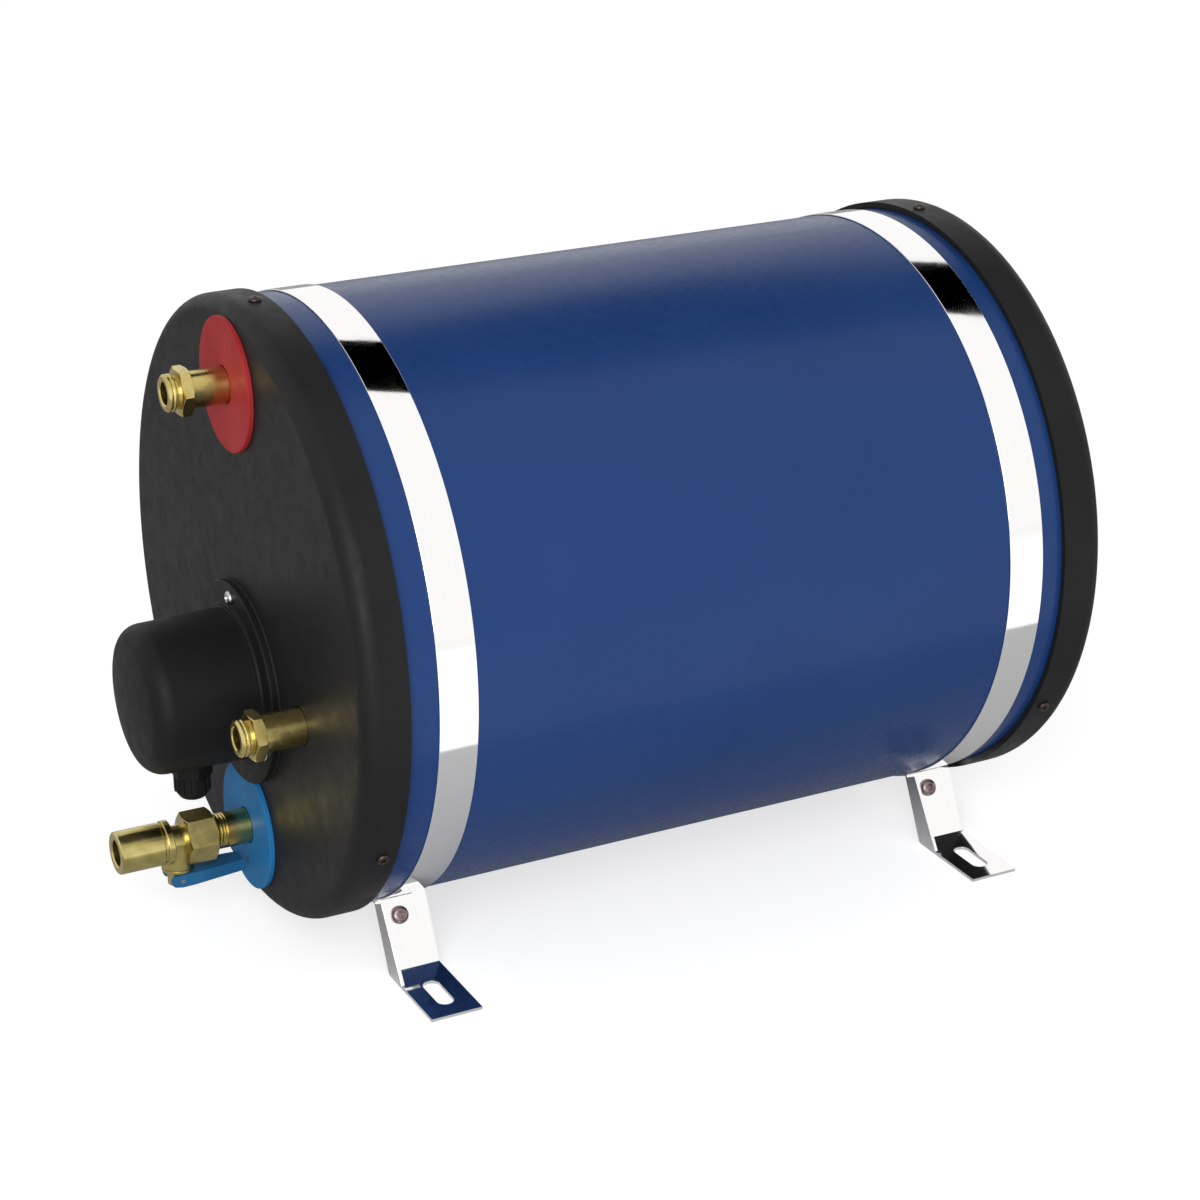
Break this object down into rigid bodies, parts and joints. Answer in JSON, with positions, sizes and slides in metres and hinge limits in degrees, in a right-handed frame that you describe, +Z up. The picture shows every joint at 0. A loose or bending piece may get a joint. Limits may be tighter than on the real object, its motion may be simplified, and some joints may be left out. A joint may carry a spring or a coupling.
{
  "type": "storage water heater",
  "caption": "Horizontal insulated storage water heater for a camper: blue jacket, dark end caps, steel strap feet, brass connections, element cover and safety valve.",
  "frame": {"origin": "centre of the four foot slots, on the surface that the feet stand on", "axes": "+Z up, -Y out of the end with the connections, +X to the right seen from that end"},
  "size_m": [0.3576, 0.5473, 0.378],
  "materials": {
    "blue_jacket": "satin paint",
    "black_cap": "fine moulded grain",
    "polished_steel": "polished",
    "tank_steel": "mill finish",
    "fastener_steel": "zinc plated",
    "foam": "rigid foam",
    "yellow_brass": "machined",
    "plated_valve": "cast and machined",
    "red_disc": "moulded",
    "blue_disc": "moulded",
    "black_cover": "fine moulded grain",
    "black_rubber": "matte",
    "coil_copper": "drawn tube",
    "blue_lever": "moulded",
    "white_plastic": "moulded",
    "red_button": "moulded",
    "spring_steel": "drawn wire"
  },
  "bodies": {
    "heater": {"outer_jacket": "blue_jacket", "front_end_cap": "black_cap", "rear_end_cap": "black_cap", "front_cap_screws": "fastener_steel", "rear_cap_screws": "fastener_steel", "front_strap": "polished_steel", "rear_strap": "polished_steel", "front_cradle": "polished_steel", "rear_cradle": "polished_steel", "strap_bolts": "fastener_steel", "strap_nuts": "fastener_steel", "inner_tank": "tank_steel", "foam_insulation": "foam", "hot_stub": "tank_steel", "cold_stub": "tank_steel", "coil_flow_stub": "tank_steel", "coil_return_stub": "tank_steel", "exchanger_coil": "coil_copper", "hot_nipple": "yellow_brass", "coil_flow_nipple": "yellow_brass", "coil_return_nipple": "yellow_brass", "cold_nipple": "yellow_brass", "hot_marker_disc": "red_disc", "cold_marker_disc": "blue_disc", "element_boss": "tank_steel", "element_gasket": "black_rubber", "element_plug": "yellow_brass", "heating_element": "tank_steel", "thermostat_pocket": "tank_steel", "thermostat_body": "white_plastic", "terminal_block": "white_plastic", "cover_gasket": "black_rubber", "element_cover": "black_cover", "cover_screws": "fastener_steel", "gland_body": "black_cover", "gland_locknut": "black_cover", "gland_nut": "black_cover", "gland_seal": "black_rubber", "valve_body": "plated_valve", "valve_bonnet": "plated_valve", "check_guide": "white_plastic", "check_spring": "spring_steel", "relief_spring": "spring_steel"},
    "thermostat_dial": {"thermostat_dial": "black_cover"},
    "reset_button": {"reset_button": "red_button"},
    "check_poppet": {"check_poppet": "plated_valve"},
    "relief_spindle": {"relief_spindle": "plated_valve", "relief_washer": "black_rubber"},
    "relief_lever": {"relief_lever": "blue_lever", "lever_pin": "fastener_steel"}
  },
  "joints": [
    {"name": "relief_lift", "type": "slide", "parent": "heater", "child": "relief_spindle", "axis": [0, 0, -1], "range_m": [0, 0.002], "deforming": ["relief_spring"]},
    {"name": "lever_turn", "type": "hinge", "parent": "relief_spindle", "child": "relief_lever", "pos_m": [0, -0.2838, 0.0408], "axis": [-1, 0, 0], "range_deg": [0, 45], "stiffness_Nm_per_rad": 0.03, "springref_deg": -8.59},
    {"name": "check_slide", "type": "slide", "parent": "heater", "child": "check_poppet", "axis": [0, 1, 0], "range_m": [0, 0.003], "stiffness_N_per_m": 40, "springref_m": -0.004, "deforming": ["check_spring"]},
    {"name": "dial_turn", "type": "hinge", "parent": "heater", "child": "thermostat_dial", "pos_m": [-0.006, -0.2708, 0.166], "axis": [0, 1, 0], "range_deg": [0, 240]},
    {"name": "button_press", "type": "slide", "parent": "heater", "child": "reset_button", "axis": [0, 1, 0], "range_m": [0, 0.0015], "stiffness_N_per_m": 400}
  ],
  "couplings": [
    {"joint": "relief_lift", "follows": "lever_turn", "m_per_rad": 0.002546}
  ]
}
